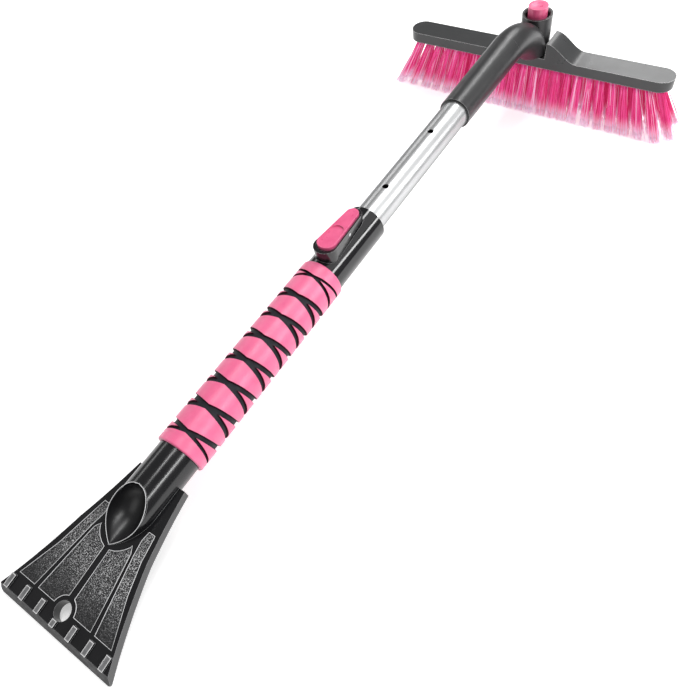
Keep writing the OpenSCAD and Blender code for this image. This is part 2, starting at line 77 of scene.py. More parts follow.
class Graph:
    """A material's node tree, with short calls for the nodes used below."""

    def __init__(self, name, colour, roughness, metallic=0.0, **sockets):
        self.material = bpy.data.materials.new(name)
        self.material.use_nodes = True
        self.material.diffuse_color = (*colour, 1)
        self.tree = self.material.node_tree
        self.shader = self.tree.nodes["Principled BSDF"]
        self.set(Base_Color=(*colour, 1), Roughness=roughness, Metallic=metallic, **sockets)
        self._tool = None

    def set(self, **sockets):
        for name, value in sockets.items():
            self.shader.inputs[name.replace("_", " ")].default_value = value

    def link(self, output, name):
        self.tree.links.new(output, self.shader.inputs[name])

    def add(self, kind, **inputs):
        made = self.tree.nodes.new(kind)
        for key, value in inputs.items():
            self.put(made, key.replace("_", " "), value)
        return made

    def put(self, made, key, value):
        socket = made.inputs[int(key)] if key.isdigit() else made.inputs[key]
        if isinstance(value, bpy.types.NodeSocket):
            self.tree.links.new(value, socket)
        else:
            socket.default_value = value

    def tool_coords(self):
        """Surface position in the tool's frame, in metres."""
        if self._tool is None:
            place = self.add("ShaderNodeTexCoord").outputs["Object"]
            turn = self.add("ShaderNodeMapping", Vector=place)
            turn.inputs["Location"].default_value = TO_TOOL.to_translation()
            turn.inputs["Rotation"].default_value = TO_TOOL.to_euler()
            self._tool = turn.outputs["Vector"]
        return self._tool

    def stretched(self, x, y, z):
        """Tool coordinates multiplied by x, y and z."""
        scaled = self.add("ShaderNodeVectorMath")
        scaled.operation = "MULTIPLY"
        self.tree.links.new(self.tool_coords(), scaled.inputs[0])
        scaled.inputs[1].default_value = (x, y, z)
        return scaled.outputs["Vector"]

    def axis(self, name):
        parts = self.add("ShaderNodeSeparateXYZ", Vector=self.tool_coords())
        return parts.outputs[name]

    def noise(self, scale, detail=3.0, roughness=0.55, coords=None):
        made = self.add("ShaderNodeTexNoise", Vector=coords or self.tool_coords(), Scale=scale)
        made.inputs["Detail"].default_value = detail
        made.inputs["Roughness"].default_value = roughness
        return made.outputs["Fac"]

    def cells(self, scale, feature="F1", coords=None):
        made = self.add("ShaderNodeTexVoronoi", Vector=coords or self.tool_coords(), Scale=scale)
        made.feature = feature
        return made.outputs["Distance"]

    def span(self, value, low, high, out_low=0.0, out_high=1.0, smooth=False):
        made = self.add("ShaderNodeMapRange")
        if smooth:
            made.interpolation_type = "SMOOTHSTEP"
        self.tree.links.new(value, made.inputs["Value"])
        for key, number in (
            ("From Min", low),
            ("From Max", high),
            ("To Min", out_low),
            ("To Max", out_high),
        ):
            made.inputs[key].default_value = number
        return made.outputs["Result"]

    def maths(self, operation, a, b):
        made = self.add("ShaderNodeMath")
        made.operation = operation
        self.put(made, "0", a)
        self.put(made, "1", b)
        return made.outputs[0]

    def mix(self, factor, a, b):
        """Colours a and b mixed by factor."""
        made = self.add("ShaderNodeMix")
        made.data_type = "RGBA"
        self.put(made, "Factor", factor)
        for socket, value in ((made.inputs[6], a), (made.inputs[7], b)):
            if isinstance(value, bpy.types.NodeSocket):
                self.tree.links.new(value, socket)
            else:
                socket.default_value = (*value, 1)
        return made.outputs[2]

    def bump(self, height, strength, distance, normal=None):
        made = self.add("ShaderNodeBump", Height=height, Strength=strength, Distance=distance)
        if normal is not None:
            self.tree.links.new(normal, made.inputs["Normal"])
        return made.outputs["Normal"]

    def edge_mask(self, radius, low=0.02, high=0.25):
        """0 on faces, up to 1 on convex and concave edges, where the materials lighten their colour partly as
        wear and partly as painted edge highlight.
        """
        soft = self.add("ShaderNodeBevel", Radius=radius)
        soft.samples = 4
        true = self.add("ShaderNodeNewGeometry").outputs["Normal"]
        dot = self.add("ShaderNodeVectorMath")
        dot.operation = "DOT_PRODUCT"
        self.tree.links.new(soft.outputs["Normal"], dot.inputs[0])
        self.tree.links.new(true, dot.inputs[1])
        away = self.maths("SUBTRACT", 1.0, dot.outputs["Value"])
        return self.span(away, low, high)


# ---- Materials ----


def gloss_black(name, roughness, wear_and_highlight_strength=0.3):
    """Moulded black ABS: glossy, with a faint flow pattern and handling marks, and edges lightened to grey
    partly as wear and partly as painted edge highlight.
    """
    g = Graph(name, (0.012, 0.012, 0.013), roughness)
    g.set(Specular_IOR_Level=0.5, IOR=1.56)
    blotch = g.noise(38, 4)
    fine = g.noise(900, 2)
    # Edges mixed towards grey: partly wear, partly painted edge highlight.
    wear_and_highlight = g.maths("MULTIPLY", g.edge_mask(0.5 * MM), wear_and_highlight_strength)
    wear_and_highlight = g.maths("MULTIPLY", wear_and_highlight, g.span(g.noise(160, 3), 0.25, 0.6, 0.45, 1.0))
    tone = g.mix(g.span(blotch, 0.3, 0.7), (0.006, 0.006, 0.007), (0.010, 0.010, 0.011))
    g.link(g.mix(wear_and_highlight, tone, (0.42, 0.42, 0.43)), "Base Color")
    rough = g.span(blotch, 0.3, 0.7, roughness - 0.03, roughness + 0.05)
    g.link(g.maths("ADD", rough, g.maths("MULTIPLY", wear_and_highlight, 0.3)), "Roughness")
    normal = g.bump(g.noise(70, 2), 0.12, 0.25 * MM)
    g.link(g.bump(fine, 0.10, 0.05 * MM, normal), "Normal")
    return g.material


def grained_black():
    """The panels' spark-eroded grain: coarse bright flecks on black, painted glints of the grain, that thin
    out near the edge.
    """
    g = Graph("scraper_grain", (0.02, 0.02, 0.021), 0.36)
    height = g.maths("ADD", g.cells(1150, "F1"), g.noise(2100, 2))
    # Near-white flecks: painted glints on the grain.
    fleck_glint = g.span(g.noise(1700, 2, 0.75), 0.55, 0.60)
    reach = g.span(g.axis("Y"), 12 * MM, 46 * MM, 0.10, 1.0, smooth=True)
    cloud = g.span(g.noise(55, 3), 0.3, 0.7, 0.45, 1.0)
    fleck_glint = g.maths("MULTIPLY", fleck_glint, g.maths("MULTIPLY", reach, cloud))
    g.link(g.mix(fleck_glint, (0.009, 0.009, 0.010), (0.95, 0.95, 0.96)), "Base Color")
    g.link(g.span(g.noise(600, 2), 0.3, 0.7, 0.40, 0.60), "Roughness")
    g.link(g.bump(height, 0.75, 0.35 * MM), "Normal")
    return g.material


def painted_highlight_black(name, tone, edge):
    """Black ABS painted a lighter grey, most of all along its edges: painted highlights on rib tops and
    raised borders.
    """
    g = Graph(name, tone, 0.32)
    low = tuple(0.6 * c for c in tone)
    face = g.mix(g.span(g.noise(240, 3), 0.3, 0.7), low, tone)
    # Edges mixed further towards the edge grey: painted edge highlight.
    g.link(g.mix(g.edge_mask(1.1 * MM, 0.005, 0.06), face, edge), "Base Color")
    g.link(g.span(g.noise(300, 3), 0.3, 0.7, 0.25, 0.42), "Roughness")
    g.link(g.bump(g.noise(900, 2), 0.15, 0.06 * MM), "Normal")
    return g.material


def worn_edge():
    """The scraping edge: black ABS dulled by use, with fine scratches along it."""
    g = Graph("scraper_edge", (0.045, 0.045, 0.046), 0.5)
    g.set(Specular_IOR_Level=0.12)
    scratches = g.noise(1, 4, 0.6, g.stretched(40, 900, 900))
    g.link(g.mix(g.span(scratches, 0.35, 0.7), (0.030, 0.030, 0.031), (0.075, 0.075, 0.077)), "Base Color")
    g.link(g.span(g.noise(300, 3), 0.3, 0.7, 0.42, 0.60), "Roughness")
    g.link(g.bump(scratches, 0.2, 0.05 * MM), "Normal")
    return g.material


def satin_grey(name, low, high, roughness, edge=0.50):
    """Satin charcoal plastic with a fine moulded texture, its edges lightened as wear and as painted edge
    highlight.
    """
    g = Graph(name, high, roughness)
    # Edges mixed towards the edge grey: painted edge highlight, with some wear.
    wear_and_highlight = g.maths("MULTIPLY", g.edge_mask(0.8 * MM), 0.6)
    tone = g.mix(g.span(g.noise(45, 3), 0.15, 0.85), low, high)
    g.link(g.mix(wear_and_highlight, tone, (edge, edge, edge)), "Base Color")
    g.link(g.span(g.noise(60, 3), 0.15, 0.85, roughness - 0.05, roughness + 0.06), "Roughness")
    normal = g.bump(g.noise(1500, 2), 0.22, 0.10 * MM)
    g.link(g.bump(g.noise(90, 2), 0.08, 0.3 * MM, normal), "Normal")
    return g.material


def aluminium():
    """Satin anodised tube with fine drawing lines along it."""
    g = Graph("tube_aluminium", (0.56, 0.565, 0.57), 0.33, 1.0)
    g.set(Specular_Tint=(0.35, 0.35, 0.35, 1))
    lines = g.noise(1, 4, 0.6, g.stretched(1400, 6, 1400))
    streaks = g.noise(1, 3, 0.6, g.stretched(160, 12, 160))
    g.link(
        g.mix(g.span(streaks, 0.3, 0.7), (0.52, 0.525, 0.53), (0.60, 0.605, 0.61)), "Base Color"
    )
    g.link(g.span(lines, 0.3, 0.7, 0.31, 0.37), "Roughness")
    g.link(g.bump(lines, 0.05, 0.03 * MM), "Normal")
    return g.material


def pink_plastic():
    """Moulded pink plastic, satin, a little translucent."""
    g = Graph("pink_plastic", (0.80, 0.11, 0.29), 0.3)
    g.set(Subsurface_Weight=0.12, Subsurface_Radius=(0.6, 0.25, 0.3), Subsurface_Scale=1.5 * MM)
    tone = g.mix(g.span(g.noise(120, 3), 0.3, 0.7), (0.70, 0.088, 0.22), (0.78, 0.125, 0.27))
    # Edges mixed towards pale pink: partly wear, partly painted edge highlight.
    wear_and_highlight = g.maths("MULTIPLY", g.edge_mask(0.6 * MM), 0.45)
    g.link(g.mix(wear_and_highlight, tone, (0.97, 0.48, 0.64)), "Base Color")
    g.link(g.span(g.noise(200, 3), 0.3, 0.7, 0.25, 0.38), "Roughness")
    g.link(g.bump(g.noise(1300, 2), 0.15, 0.06 * MM), "Normal")
    return g.material


def pink_foam():
    """Closed-cell foam: fine pores darkened as painted shade, soft sheen and a slightly uneven pink."""
    g = Graph("pink_foam", (0.88, 0.10, 0.28), 0.42)
    g.set(Subsurface_Weight=0.15, Subsurface_Radius=(0.9, 0.3, 0.4), Subsurface_Scale=1.6 * MM)
    g.set(Sheen_Weight=0.4, Sheen_Roughness=0.4, Sheen_Tint=(1.0, 0.8, 0.88, 1), Specular_IOR_Level=0.95)
    tone = g.mix(g.span(g.noise(90, 4), 0.3, 0.7), (0.78, 0.10, 0.25), (0.86, 0.14, 0.31))
    pore = g.cells(1500, "F1")
    # Pore centres mixed darker: painted shade in the pores.
    g.link(g.mix(g.span(pore, 0.0, 0.16, 0.35, 0.0), tone, (0.70, 0.05, 0.18)), "Base Color")
    g.link(g.span(g.noise(260, 3), 0.3, 0.7, 0.38, 0.48), "Roughness")
    normal = g.bump(pore, 0.30, 0.10 * MM)
    g.link(g.bump(g.noise(60, 2), 0.10, 0.5 * MM, normal), "Normal")
    return g.material


def groove_wall_painted_shade():
    """Cut side of a groove: deep crimson, painted shade of the pink foam in the groove."""
    g = Graph("groove_wall_painted_shade", (0.045, 0.002, 0.012), 0.75)
    g.set(Specular_IOR_Level=0.2)
    # Near-black crimson: painted shade on the groove's foam sides.
    g.link(g.mix(g.noise(300, 3), (0.020, 0.001, 0.005), (0.05, 0.003, 0.014)), "Base Color")
    g.link(g.bump(g.cells(1500), 0.3, 0.1 * MM), "Normal")
    return g.material


def groove_floor():
    """Bottom of a groove: blue-black."""
    g = Graph("groove_floor", (0.008, 0.009, 0.015), 0.6)
    g.set(Specular_IOR_Level=0.3)
    g.link(g.mix(g.noise(180, 3), (0.005, 0.006, 0.010), (0.012, 0.013, 0.020)), "Base Color")
    g.link(g.span(g.noise(240, 3), 0.3, 0.7, 0.5, 0.7), "Roughness")
    g.link(g.bump(g.cells(1300), 0.35, 0.12 * MM), "Normal")
    return g.material


def steel():
    """Zinc-plated steel with an uneven polish."""
    g = Graph("plated_steel", (0.62, 0.62, 0.64), 0.3, 1.0)
    g.link(g.mix(g.noise(300, 3), (0.55, 0.55, 0.57), (0.70, 0.70, 0.71)), "Base Color")
    g.link(g.span(g.noise(500, 3), 0.3, 0.7, 0.22, 0.4), "Roughness")
    g.link(g.bump(g.noise(1200, 2), 0.1, 0.05 * MM), "Normal")
    return g.material


def nylon():
    """Natural nylon, off-white and matte."""
    g = Graph("white_nylon", (0.8, 0.79, 0.74), 0.45)
    g.link(g.mix(g.noise(200, 3), (0.76, 0.75, 0.70), (0.84, 0.83, 0.79)), "Base Color")
    g.link(g.span(g.noise(300, 3), 0.3, 0.7, 0.38, 0.52), "Roughness")
    g.link(g.bump(g.noise(1000, 2), 0.12, 0.06 * MM), "Normal")
    return g.material


def bristle():
    """Filament: hot pink that varies from one to the next, with split, pale ends, and a painted glow: its
    colour is also emitted.
    """
    g = Graph("pink_bristle", (0.86, 0.06, 0.34), 0.33)
    # Emission strength: painted glow that brightens the filaments.
    g.set(Specular_IOR_Level=0.25, Emission_Strength=0.12)
    along = g.add("ShaderNodeAttribute")
    along.attribute_name = "along"
    shade = g.add("ShaderNodeAttribute")
    shade.attribute_name = "shade"
    body = g.mix(shade.outputs["Fac"], (0.68, 0.001, 0.10), (1.0, 0.14, 0.48))
    frayed = g.span(along.outputs["Fac"], 0.60, 0.95, 0.0, 1.0, smooth=True)
    frayed = g.maths("MULTIPLY", frayed, g.span(shade.outputs["Fac"], 0.1, 0.8, 0.45, 1.0))
    frayed = g.maths("MAXIMUM", frayed, g.span(shade.outputs["Fac"], 0.90, 0.99, 0.0, 0.7))
    tone = g.mix(frayed, body, (1.0, 0.80, 0.95))
    g.link(tone, "Base Color")
    # The filaments glow in their own colour: painted light.
    g.link(tone, "Emission Color")
    g.link(g.span(along.outputs["Fac"], 0.5, 1.0, 0.30, 0.55), "Roughness")
    return g.material


# ---- Finishing the CAD nodes ----


# Points closer than this, in metres, are one point.  The neck's sections need the wider distance.
WELD = 2e-6
SLEEVE_JOIN = 4e-5


def mark_creases(mesh, degrees, join):
    """Marks the edges that bend by more than that many degrees as sharp, so smooth shading stops at them.
    The mesh's faces meet only after the weld, so the bends are measured on a copy welded at join."""
    work = bmesh.new()
    work.from_mesh(mesh)
    bmesh.ops.remove_doubles(work, verts=work.verts, dist=join)

    def key(a, b):
        return frozenset(tuple(round(x / WELD / 3) for x in p) for p in (a, b))

    bent = {
        key(e.verts[0].co, e.verts[1].co)
        for e in work.edges
        if len(e.link_faces) == 2 and e.calc_face_angle(0) > math.radians(degrees)
    }
    work.free()
    for edge in mesh.edges:
        a, b = (mesh.vertices[i].co for i in edge.vertices)
        edge.use_edge_sharp = key(a, b) in bent


def finish_node(name, materials, bevel=0.3, segments=3, angle=32, crease=20, join=WELD):
    """Gives a CAD node its materials, rounded edges and smooth shading."""
    obj = NODES[name]
    mesh = obj.data
    mesh.materials.clear()
    for material in materials:
        mesh.materials.append(material)
    mesh.polygons.foreach_set("use_smooth", [True] * len(mesh.polygons))
    if mesh.has_custom_normals:
        bpy.context.view_layer.objects.active = obj
        with bpy.context.temp_override(object=obj, active_object=obj):
            bpy.ops.mesh.customdata_custom_splitnormals_clear()
    mark_creases(mesh, crease, join)
    weld = obj.modifiers.new("weld", "WELD")
    weld.merge_threshold = join
    if bevel:
        rounding = obj.modifiers.new("rounding", "BEVEL")
        rounding.width = bevel * MM
        rounding.segments = segments
        rounding.limit_method = "ANGLE"
        rounding.angle_limit = math.radians(angle)
        rounding.miter_outer = "MITER_ARC"
        rounding.harden_normals = False
    normals = obj.modifiers.new("normals", "WEIGHTED_NORMAL")
    normals.weight = 60
    normals.keep_sharp = True
    return obj


# The blade's top face, seen from the side: its height at the bevel, at the bend and at the socket's end.
BEVEL_Y, BEVEL_Z = 4.3, -9
BEND_Y, BEND_Z = 60, -1.2
END_Y, END_Z = 106, -0.3


def blade_top(y):
    """Height of the blade's top face, in the tool's frame, in millimetres."""
    if y < BEND_Y:
        return BEVEL_Z + (y - BEVEL_Y) * (BEND_Z - BEVEL_Z) / (BEND_Y - BEVEL_Y)
    return BEND_Z + (y - BEND_Y) * (END_Z - BEND_Z) / (END_Y - BEND_Y)


# Sizes on the scraper, in millimetres.  The dish's widest place and its top are shares of the way up the cut.
PANEL_DEPTH = 0.7
PANELS_START, PANELS_END = 14, 78
RIB_END = 14.0
EDGE_DEEP = 4.4
DISH_START, DISH_END = Vector((0, 56.9, -1.4)), Vector((0, 94.2, 15.1))
DISH_HALF, DISH_WIDEST, DISH_TOP = 13.2, 0.52, 0.985


def dish_half_width(t):
    """Half the dish's width, at the share t of the way up the scraper's oblique cut."""
    if t <= DISH_WIDEST:
        return DISH_HALF * math.sin(math.pi / 2 * (t / DISH_WIDEST) ** 0.86)
    return DISH_HALF * math.sqrt(max(0, 1 - ((t - DISH_WIDEST) / (DISH_TOP - DISH_WIDEST)) ** 2))


def in_dish(point):
    """Whether a point of the tool's frame lies on the dish's surface or in the cut's plane within its rim."""
    slope = DISH_END - DISH_START
    t = (point - DISH_START).dot(slope) / slope.length_squared
    height = (point - DISH_START).dot(Vector((0, -slope.z, slope.y)).normalized())
    return 0 <= t <= 1 and height < 0.05 and abs(point.x) <= dish_half_width(t) + 0.2


def paint_blade(obj):
    """Puts the grain (slot 1) on the sunk panel floors, which lie PANEL_DEPTH under the blade's top, the
    pale grey plastic of painted highlight (slot 2) on the tops of the ribs, the duller plastic (slot 3) in
    the dish and the scratched one (slot 4) on the face of the scraping edge."""
    points = [tool_point(v.co) for v in obj.data.vertices]
    for face in obj.data.polygons:
        corners = [points[i] for i in face.vertices]
        sunk = all(abs(blade_top(p.y) - PANEL_DEPTH - p.z) < 0.03 for p in corners)
        raised = all(p.y < RIB_END and p.z - blade_top(p.y) > 1.2 for p in corners)
        up = face.normal.dot(AWAY) > 0.9
        dished = all(in_dish(p) for p in corners) and face.normal.dot(AWAY) > 0
        edge = all(p.y < EDGE_DEEP for p in corners) and face.normal.dot(ALONG) < -0.5
        choices = (sunk and up, raised and up, dished, edge)
        face.material_index = choices.index(True) + 1 if any(choices) else 0


def panel_rims(obj):
    """Closed chains of points along the upper rims of the sunk panels."""
    work = bmesh.new()
    work.from_mesh(obj.data)
    bmesh.ops.remove_doubles(work, verts=work.verts, dist=WELD)
    place = {v: tool_point(v.co) for v in work.verts}

    def under_top(v):
        return blade_top(place[v].y) - place[v].z

    rim_edges = []
    for edge in work.edges:
        if any(abs(under_top(v)) > 0.03 or not PANELS_START < place[v].y < PANELS_END for v in edge.verts):
            continue
        walls = [f for f in edge.link_faces if abs(f.normal.dot(AWAY)) < 0.3]
        if any(abs(max(under_top(v) for v in f.verts) - PANEL_DEPTH) < 0.05 for f in walls):
            rim_edges.append(edge)
    near = {}
    for edge in rim_edges:
        a, b = edge.verts
        near.setdefault(a, []).append(b)
        near.setdefault(b, []).append(a)
    chains, left = [], set(near)
    while left:
        ends = [v for v in left if len(near[v]) == 1] or list(left)
        here = min(ends, key=lambda v: (place[v].x, place[v].y))
        chain = [here]
        left.discard(here)
        while True:
            onward = [v for v in near[chain[-1]] if v in left]
            if not onward:
                break
            chain.append(onward[0])
            left.discard(onward[0])
        closed = chain[0] in near[chain[-1]] and len(chain) > 2
        chains.append(([place[v] * MM for v in chain], closed))
    work.free()
    return chains


def dish_rim():
    """Points round the rim of the dish in the scraper's oblique cut, in the tool's frame, in millimetres."""
    steps = 40
    right = [(dish_half_width(DISH_TOP * i / steps), DISH_TOP * i / steps) for i in range(steps + 1)]
    left = [(-x, t) for x, t in reversed(right[1:-1])]
    return [DISH_START.lerp(DISH_END, t) + Vector((x, 0, 0)) for x, t in right + left]


BEAD_R = 0.19


def panel_beads(material):
    """Thin raised bead round each grained panel and round the dish; its pale grey is painted edge highlight.
    """
    curve = bpy.data.curves.new("panel_beads", "CURVE")
    curve.dimensions = "3D"
    curve.bevel_depth = BEAD_R * MM
    curve.bevel_resolution = 2
    rims = panel_rims(NODES["scraper"]) + [([p * MM for p in dish_rim()], True)]
    for points, closed in rims:
        spline = curve.splines.new("POLY")
        spline.points.add(len(points) - 1)
        for point, place in zip(spline.points, points):
            point.co = (*place, 1)
        spline.use_cyclic_u = closed
    loose = bpy.data.objects.new("panel_beads_curve", curve)
    bpy.context.scene.collection.objects.link(loose)
    bpy.context.view_layer.update()
    mesh = bpy.data.meshes.new_from_object(loose.evaluated_get(bpy.context.evaluated_depsgraph_get()))
    bpy.data.objects.remove(loose)
    mesh.transform(TOOL)
    mesh.materials.clear()
    mesh.materials.append(material)
    return piece("panel_beads", mesh, "handle")


def piece(name, mesh, body):
    """A new object of the model that rides on a CAD body."""
    mesh.polygons.foreach_set("use_smooth", [True] * len(mesh.polygons))
    obj = bpy.data.objects.new(name, mesh)
    bpy.context.scene.collection.objects.link(obj)
    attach(obj, body)
    return obj


# ---- Foam grip ----

GRIP_START = 123.3
GRIP_END = 288.4
GRIP_R = 17.6
GRIP_BORE = 15.15
GROOVE_PITCH = 20.2
GROOVE_ANGLE = math.radians(12)
GROOVE_FIRST = 134.9
GROOVE_DEPTH = 1.8
GROOVE_FLOOR = 1.45
GROOVE_LIP = 1.9
GROOVE_ZONE = 2.9
LAND_STEPS = 9
RIM_ROUND = 0.9
# The grooves start at this share of their width, widen over the first span of y and narrow over the last.
# Their depth grows and shrinks over spans of its own, from nothing and back to nothing.
NARROWEST = 0.45
WIDEN_FROM, WIDEN_OVER = 127.5, 14
NARROW_TO, NARROW_OVER = 284.5, 24
DEEPEN_FROM, DEEPEN_OVER = 124.6, 4
SHALLOW_TO, SHALLOW_OVER = 285.6, 5


def clamped(value):
    """value, held between 0 and 1."""
    return min(1.0, max(0.0, value))


def smooth(value):
    """A soft step from 0 to 1."""
    t = clamped(value)
    return t * t * (3 - 2 * t)


def groove_taper(y):
    """Share of the full groove width: the grooves narrow towards both ends of the grip."""
    widened = min(smooth((y - WIDEN_FROM) / WIDEN_OVER), smooth((NARROW_TO - y) / NARROW_OVER))
    return NARROWEST + (1 - NARROWEST) * widened


def groove_depth(y):
    """Depth of the grooves at y, down to nothing just short of both ends."""
    deepened = min(clamped((y - DEEPEN_FROM) / DEEPEN_OVER), clamped((SHALLOW_TO - y) / SHALLOW_OVER))
    return GROOVE_DEPTH * deepened


def groove_stations(period):
    """(distance from a groove's middle, share of its depth) across one period, in order."""
    half = [(GROOVE_FLOOR / 2, 1), (GROOVE_FLOOR, 1)]
    half += [(GROOVE_LIP - 0.06, 0.14), (GROOVE_LIP + 0.14, 0)]
    land = (period - 2 * GROOVE_ZONE) / (2 * LAND_STEPS)
    half += [(GROOVE_ZONE + land * step, 0) for step in range(LAND_STEPS + 1)]
    return [(0, 1)] + half + [(period - d, share) for d, share in reversed(half[:-1])]


def grip_surface():
    """The grip's outer skin, on a grid whose lines follow the two opposite helical grooves.
    A line of the first family rises with the angle and one of the second falls.  Each groove is a whole
    number of periods along its family."""
    period = 1 / math.hypot(1 / GROOVE_PITCH, 1 / (2 * math.pi * GRIP_R))
    stations = groove_stations(period)
    count = len(stations)

    def line(index, y):
        whole, step = divmod(index, count)
        offset, share = stations[step]
        if offset > period / 2:
            whole, offset = whole + 1, offset - period
        if abs(offset) < GROOVE_ZONE:
            offset *= groove_taper(y)
        return whole + offset / period, share

    def rough_y(i, j):
        return GROOVE_FIRST + GROOVE_PITCH * (i + j) / (2 * count)

    work = bmesh.new()
    deep = work.verts.layers.float.new("deep")
    made = {}

    def vertex(i, j):
        turns = math.floor((j - i + count) / (2 * count))
        key = (i + turns * count, j - turns * count)
        if key not in made:
            y0 = rough_y(*key)
            u, share_u = line(key[0], y0)
            v, share_v = line(key[1], y0)
            angle = math.pi * (v - u) + GROOVE_ANGLE
            y = GROOVE_FIRST + GROOVE_PITCH * (u + v) / 2
            new = work.verts.new((math.sin(angle) * GRIP_R, y, math.cos(angle) * GRIP_R))
            new[deep] = max(share_u, share_v)
            made[key] = new
        return made[key]

    margin = 4
    reach = count * (math.ceil((GRIP_END - GRIP_START) / GROOVE_PITCH) + 3)
    for i in range(-reach, reach):
        for j in range(max(-reach, i - count), min(reach, i + count)):
            if not GRIP_START - margin < rough_y(i, j) < GRIP_END + margin:
                continue
            corners = [vertex(i, j), vertex(i, j + 1), vertex(i + 1, j + 1), vertex(i + 1, j)]
            work.faces.new(corners)
    return work, deep


def cut_across(work, y, side=0):
    """Cuts a mesh at y, and clears what lies beyond it on the given side."""
    bmesh.ops.bisect_plane(
        work,
        geom=work.verts[:] + work.edges[:] + work.faces[:],
        dist=1e-5,
        plane_co=(0, y, 0),
        plane_no=(0, 1, 0),
        clear_outer=side > 0,
        clear_inner=side < 0,
    )


def grip_piece(materials):
    """Foam grip: grooved skin, rounded rims and a plain bore."""
    work, deep = grip_surface()
    cut_across(work, GRIP_START, -1)
    cut_across(work, GRIP_END, 1)
    for step in (1, 2, 3, 4):
        inset = RIM_ROUND * (1 - math.cos(math.radians(22.5 * step)))
        cut_across(work, GRIP_START + inset)
        cut_across(work, GRIP_END - inset)
    # Groove sides get the crimson of painted shade (slot 1), groove floors the blue-black (slot 2).
    for face in work.faces:
        shares = [v[deep] for v in face.verts]
        cut = groove_depth(face.calc_center_median().y) > 0.3 and max(shares) > 0.5
        face.material_index = (2 if min(shares) > 0.9 else 1) if cut else 0
    for v in work.verts:
        inset = min(v.co.y - GRIP_START, GRIP_END - v.co.y, RIM_ROUND)
        drop = RIM_ROUND - math.sqrt(max(0, RIM_ROUND**2 - (RIM_ROUND - inset) ** 2))
        radius = GRIP_R - v[deep] * groove_depth(v.co.y) - drop
        scale = radius / math.hypot(v.co.x, v.co.z)
        v.co.x *= scale
        v.co.z *= scale
    rims = [e for e in work.edges if e.is_boundary]
    grown = bmesh.ops.extrude_edge_only(work, edges=rims)["geom"]
    inner = [g for g in grown if isinstance(g, bmesh.types.BMVert)]
    for v in inner:
        scale = GRIP_BORE / math.hypot(v.co.x, v.co.z)
        v.co.x *= scale
        v.co.z *= scale
    bore = [g for g in grown if isinstance(g, bmesh.types.BMEdge) and g.is_boundary]
    bmesh.ops.bridge_loops(work, edges=bore)
    bmesh.ops.recalc_face_normals(work, faces=work.faces)
    bmesh.ops.scale(work, vec=(MM, MM, MM), verts=work.verts)
    mesh = bpy.data.meshes.new("grip_sleeve")
    work.to_mesh(mesh)
    work.free()
    mesh.transform(TOOL)
    for material in materials:
        mesh.materials.append(material)
    obj = piece("grip_sleeve", mesh, "handle")
    mesh.set_sharp_from_angle(angle=math.radians(38))
    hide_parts("foam_grip")
    return obj


# ---- Bristles ----

BOARD_T = 10.7
BOARD_HALF = 145.5
ROW_PITCH = 6.4
ROW_LEAN = 2.0
ROW_COUNT = 4
TIP_Z = -104.4
FLARE = 24
TUFTS = 23
FILAMENTS = 70
FILAMENT_R = 0.32
TUFT_R = 3.1
BEND_STEPS = 6
SPLIT_AT = 0.87


class Strands:
    """Collects thin round strands into one mesh, with how far along its filament each point is."""

    def __init__(self):
        self.points, self.faces, self.along, self.shade = [], [], [], []

    def add(self, path, radii, along, shade, sides=4):
        """A tube through the points of path, closed by a point at its end."""
        first = len(self.points)
        side = (path[-1] - path[0]).cross(Vector((0.3, 1, 0))).normalized()
        other = (path[-1] - path[0]).cross(side).normalized()
        for place, radius, share in zip(path, radii, along):
            for k in range(sides):
                a = 2 * math.pi * k / sides
                self.points.append(place + (side * math.cos(a) + other * math.sin(a)) * radius)
                self.along.append(share)
                self.shade.append(shade)
        for ring in range(len(path) - 1):
            low = first + ring * sides
            for k in range(sides):
                n = (k + 1) % sides
                self.faces.append((low + k, low + n, low + sides + n, low + sides + k))
        last = first + (len(path) - 1) * sides
        self.faces.append(tuple(range(last, last + sides)))
        self.faces.append(tuple(reversed(range(first, first + sides))))

    def mesh(self, name, material):
        mesh = bpy.data.meshes.new(name)
        mesh.from_pydata([p * MM for p in self.points], [], self.faces)
        mesh.attributes.new("along", "FLOAT", "POINT").data.foreach_set("value", self.along)
        mesh.attributes.new("shade", "FLOAT", "POINT").data.foreach_set("value", self.shade)
        mesh.transform(TOOL)
        mesh.materials.append(material)
        return mesh


def above_floor(p, least=0.25):
    """p raised along the bristles until it is at least that far above the floor, in millimetres."""
    height = at(*p).z / MM
    if height < least:
        p.z += (least - height) / AWAY.z
    return p


def filament(strands, rng, foot, tip, shade):
    """One bristle: a bowed strand that splits into two thin pale ends."""
    bow = Vector((rng.gauss(0, 1.1), rng.gauss(0, 0.8), 0))
    wave = rng.uniform(0, 2 * math.pi)

    def place(t):
        sway = Vector((math.sin(wave + 9 * t), math.cos(wave + 11 * t), 0)) * 0.12 * t
        return foot.lerp(tip, t) + bow * math.sin(math.pi * t) * 0.5 + sway

    steps = [SPLIT_AT * k / BEND_STEPS for k in range(BEND_STEPS + 1)]
    strands.add([place(t) for t in steps], [FILAMENT_R] * len(steps), steps, shade)
    for side in (-1, 1):
        spread = Vector((rng.uniform(0.1, 0.8) * side, rng.gauss(0, 0.4), rng.uniform(-1.5, 1.5)))
        ends = [SPLIT_AT - 0.02, (SPLIT_AT + 1) / 2, 1.0]
        path = [above_floor(place(t) + spread * smooth((t - SPLIT_AT) / 0.13)) for t in ends]
        radii = [FILAMENT_R * 0.8, FILAMENT_R * 0.62, FILAMENT_R * 0.34]
        strands.add(path, radii, ends, shade, sides=3)


